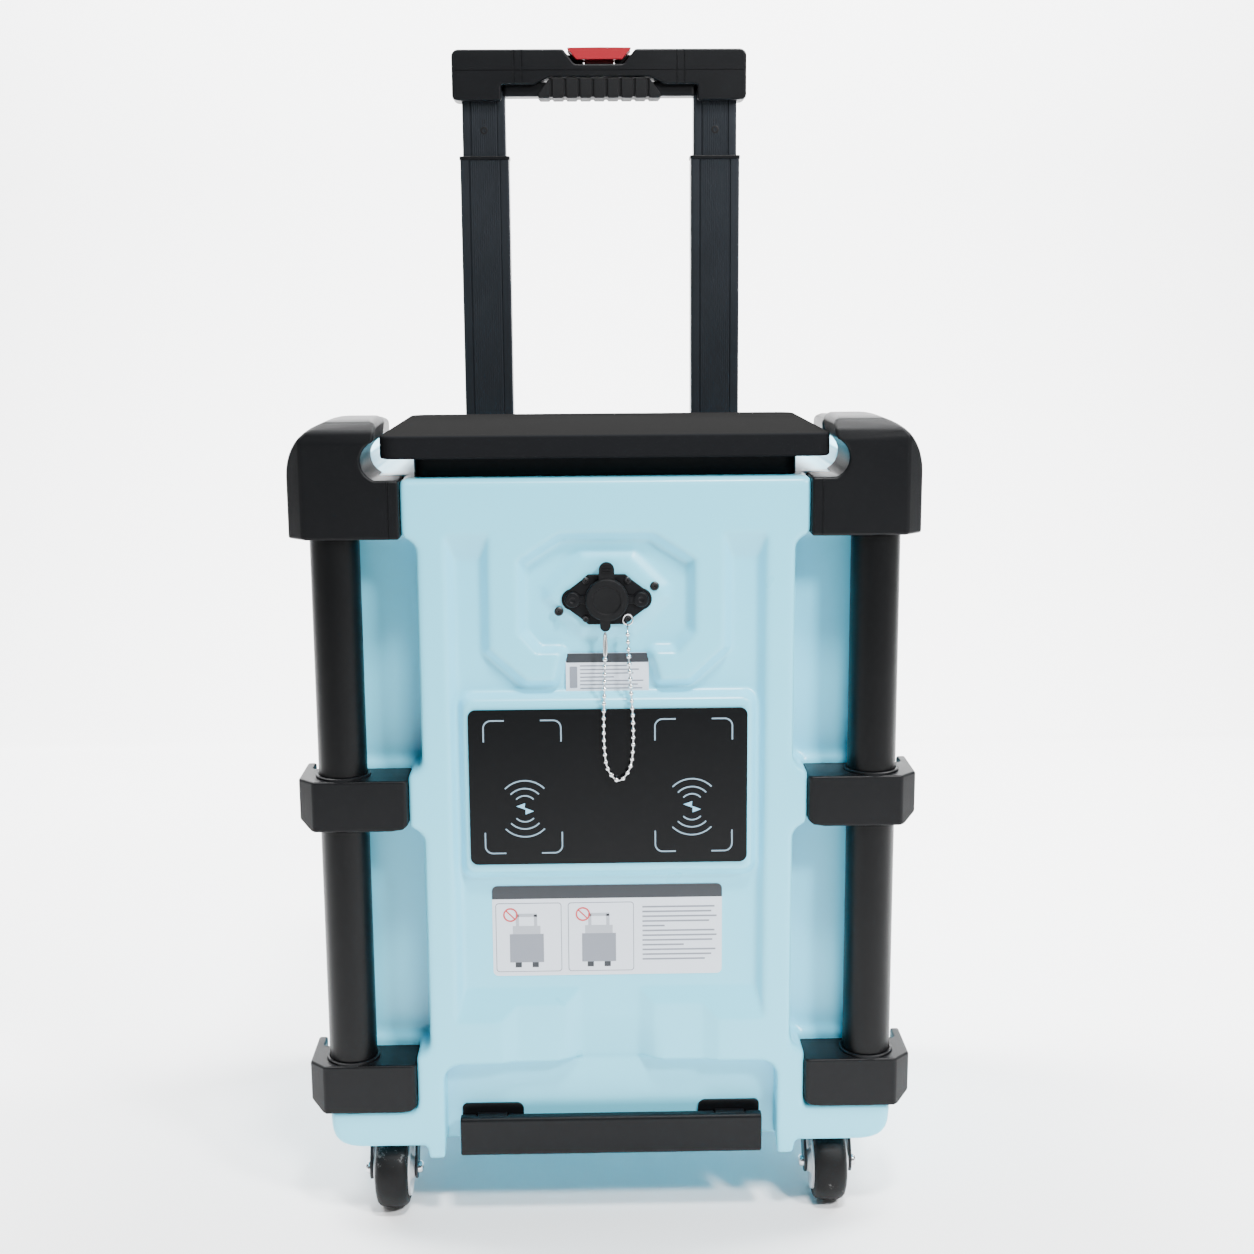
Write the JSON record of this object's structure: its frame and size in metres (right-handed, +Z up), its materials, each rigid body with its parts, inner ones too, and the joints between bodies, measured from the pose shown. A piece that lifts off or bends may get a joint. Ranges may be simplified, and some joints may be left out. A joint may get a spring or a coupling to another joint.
{
  "type": "party speaker",
  "caption": "Upright wheeled party speaker: moulded cabinet in a tubular roll cage, with trolley handle, tray top, charging panel and swivel casters.",
  "frame": {"origin": "on the floor, under the middle of the corner caps' outline", "axes": "+X to the right as the service face is looked at, +Y towards the trolley handle, +Z up"},
  "size_m": [0.572, 0.4037, 1.1265],
  "materials": {
    "cabinet": "moulded, satin",
    "tray": "fine-grained matt",
    "black_plastic": "fine-grained satin",
    "cage_tube": "satin powder coat",
    "grille": "perforated, satin",
    "driver_frame": "matt",
    "cone": "pulp cone, matt",
    "circuit_board": "solder mask",
    "battery": "shrink wrap",
    "charging_panel": "smooth satin film",
    "copper": "enamelled wire",
    "black_screw": "blackened",
    "rubber": "matt rubber",
    "chain": "bright plated beads",
    "trolley_tube": "dark anodised, brushed",
    "release_red": "satin",
    "plated_steel": "zinc plated",
    "fork_steel": "black coated",
    "tyre": "scuffed tread",
    "display": "smoked",
    "knob": "fine-grained",
    "button": "satin"
  },
  "bodies": {
    "cabinet": {"body_shell": "cabinet", "top_tray": "tray", "tray_plinth": "black_plastic", "cap_service_left": "black_plastic", "cap_service_right": "black_plastic", "cap_trolley_left": "black_plastic", "cap_trolley_right": "black_plastic", "tube_service_left": "cage_tube", "tube_service_right": "cage_tube", "tube_trolley_left": "cage_tube", "tube_trolley_right": "cage_tube", "mid_clamp_service_left": "black_plastic", "mid_clamp_service_right": "black_plastic", "mid_clamp_trolley_left": "black_plastic", "mid_clamp_trolley_right": "black_plastic", "foot_clamp_service_left": "black_plastic", "foot_clamp_service_right": "black_plastic", "foot_clamp_trolley_left": "black_plastic", "foot_clamp_trolley_right": "black_plastic", "grille_left": "grille", "grille_right": "grille", "woofer_left": "driver_frame", "woofer_right": "driver_frame", "tweeter_left": "black_plastic", "tweeter_right": "black_plastic", "amplifier_board": "circuit_board", "battery_pack": "battery", "charging_panel": "charging_panel", "charging_coils": "copper", "inlet_flange": "black_plastic", "inlet_screws": "black_screw", "cap_chain": "chain", "trolley_sleeves": "black_plastic", "lift_bar_brackets": "black_plastic", "caster_plates": "plated_steel", "control_panel": "black_plastic", "display_window": "display"},
    "middle_stage": {"middle_tubes": "trolley_tube"},
    "handle": {"inner_tubes": "trolley_tube", "grip_shell": "black_plastic", "grip_pad": "rubber"},
    "release_button": {"release_button": "release_red"},
    "lift_bar": {"lift_bar": "black_plastic"},
    "inlet_cap": {"inlet_cap": "rubber"},
    "woofer_cone_left": {"woofer_cone_left": "cone"},
    "woofer_cone_right": {"woofer_cone_right": "cone"},
    "volume_knob": {"volume_knob": "knob"},
    "tone_knob": {"tone_knob": "knob"},
    "power_button": {"power_button": "button"},
    "play_button": {"play_button": "button"},
    "pair_button": {"pair_button": "button"},
    "fork_service_left": {"fork_service_left": "fork_steel"},
    "wheel_service_left": {"wheel_service_left": "tyre"},
    "fork_service_right": {"fork_service_right": "fork_steel"},
    "wheel_service_right": {"wheel_service_right": "tyre"},
    "fork_trolley_left": {"fork_trolley_left": "fork_steel"},
    "wheel_trolley_left": {"wheel_trolley_left": "tyre"},
    "fork_trolley_right": {"fork_trolley_right": "fork_steel"},
    "wheel_trolley_right": {"wheel_trolley_right": "tyre"}
  },
  "joints": [
    {"name": "middle_stage_slide", "type": "slide", "parent": "cabinet", "child": "middle_stage", "axis": [0, 0, 1], "range_m": [-0.285, 0]},
    {"name": "inner_stage_slide", "type": "slide", "parent": "middle_stage", "child": "handle", "axis": [0, 0, 1], "range_m": [-0.05, 0.235]},
    {"name": "release_press", "type": "slide", "parent": "handle", "child": "release_button", "axis": [0, 0, -1], "range_m": [0, 0.004], "stiffness_N_per_m": 900, "springref_m": -0.002},
    {"name": "lift_bar_swing", "type": "hinge", "parent": "cabinet", "child": "lift_bar", "pos_m": [0, -0.186, 0.0975], "axis": [-1, 0, 0], "range_deg": [0, 90]},
    {"name": "inlet_cap_pull", "type": "slide", "parent": "cabinet", "child": "inlet_cap", "axis": [0, -1, 0], "range_m": [0, 0.02]},
    {"name": "woofer_left_stroke", "type": "slide", "parent": "cabinet", "child": "woofer_cone_left", "axis": [-1, 0, 0], "range_m": [-0.004, 0.004], "stiffness_N_per_m": 1500},
    {"name": "woofer_right_stroke", "type": "slide", "parent": "cabinet", "child": "woofer_cone_right", "axis": [1, 0, 0], "range_m": [-0.004, 0.004], "stiffness_N_per_m": 1500},
    {"name": "volume_turn", "type": "hinge", "parent": "cabinet", "child": "volume_knob", "pos_m": [-0.048, 0.183, 0.632], "axis": [0, 1, 0], "range_deg": [-140, 140]},
    {"name": "tone_turn", "type": "hinge", "parent": "cabinet", "child": "tone_knob", "pos_m": [-0.048, 0.183, 0.584], "axis": [0, 1, 0], "range_deg": [-140, 140]},
    {"name": "power_press", "type": "slide", "parent": "cabinet", "child": "power_button", "axis": [0, -1, 0], "range_m": [0, 0.0015], "stiffness_N_per_m": 600},
    {"name": "play_press", "type": "slide", "parent": "cabinet", "child": "play_button", "axis": [0, -1, 0], "range_m": [0, 0.0015], "stiffness_N_per_m": 600},
    {"name": "pair_press", "type": "slide", "parent": "cabinet", "child": "pair_button", "axis": [0, -1, 0], "range_m": [0, 0.0015], "stiffness_N_per_m": 600},
    {"name": "swivel_service_left", "type": "hinge", "parent": "cabinet", "child": "fork_service_left", "pos_m": [-0.212, -0.132, 0.088], "axis": [0, 0, 1], "continuous": true},
    {"name": "spin_service_left", "type": "hinge", "parent": "fork_service_left", "child": "wheel_service_left", "pos_m": [-0.212, -0.162, 0.0375], "axis": [1, 0, 0], "continuous": true},
    {"name": "swivel_service_right", "type": "hinge", "parent": "cabinet", "child": "fork_service_right", "pos_m": [0.212, -0.132, 0.088], "axis": [0, 0, 1], "continuous": true},
    {"name": "spin_service_right", "type": "hinge", "parent": "fork_service_right", "child": "wheel_service_right", "pos_m": [0.212, -0.162, 0.0375], "axis": [1, 0, 0], "continuous": true},
    {"name": "swivel_trolley_left", "type": "hinge", "parent": "cabinet", "child": "fork_trolley_left", "pos_m": [-0.212, 0.132, 0.088], "axis": [0, 0, 1], "continuous": true},
    {"name": "spin_trolley_left", "type": "hinge", "parent": "fork_trolley_left", "child": "wheel_trolley_left", "pos_m": [-0.212, 0.102, 0.0375], "axis": [1, 0, 0], "continuous": true},
    {"name": "swivel_trolley_right", "type": "hinge", "parent": "cabinet", "child": "fork_trolley_right", "pos_m": [0.212, 0.132, 0.088], "axis": [0, 0, 1], "continuous": true},
    {"name": "spin_trolley_right", "type": "hinge", "parent": "fork_trolley_right", "child": "wheel_trolley_right", "pos_m": [0.212, 0.102, 0.0375], "axis": [1, 0, 0], "continuous": true}
  ]
}
